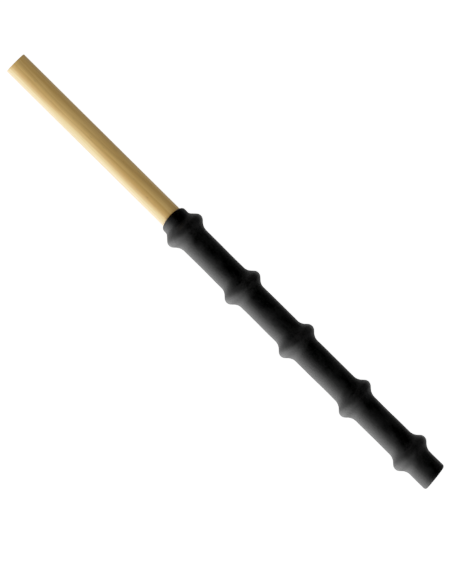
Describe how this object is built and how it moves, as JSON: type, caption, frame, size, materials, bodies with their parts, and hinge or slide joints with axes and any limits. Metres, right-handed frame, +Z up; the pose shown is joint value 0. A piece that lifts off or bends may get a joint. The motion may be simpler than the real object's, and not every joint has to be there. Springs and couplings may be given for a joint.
{
  "type": "devil stick hand stick",
  "caption": "Juggling hand stick: a round wooden dowel, bare at the handle, with a black rubber sleeve stretched over rings that raise ribs along its striking end.",
  "frame": {"origin": "on the surface the stick lies on, below the middle of its length", "axes": "+X along the stick from the bare handle to the ribbed end, +Z up, +Y to the left when looking along +X"},
  "size_m": [0.3868, 0.029, 0.029],
  "materials": {
    "dowel_wood": "sanded, dry",
    "sleeve_rubber": "matte",
    "ring_rubber": "matte"
  },
  "bodies": {
    "root": {"wooden_dowel": "dowel_wood", "rubber_sleeve": "sleeve_rubber", "rib_ring_1": "ring_rubber", "rib_ring_2": "ring_rubber", "rib_ring_3": "ring_rubber", "rib_ring_4": "ring_rubber", "rib_ring_5": "ring_rubber"}
  },
  "joints": []
}
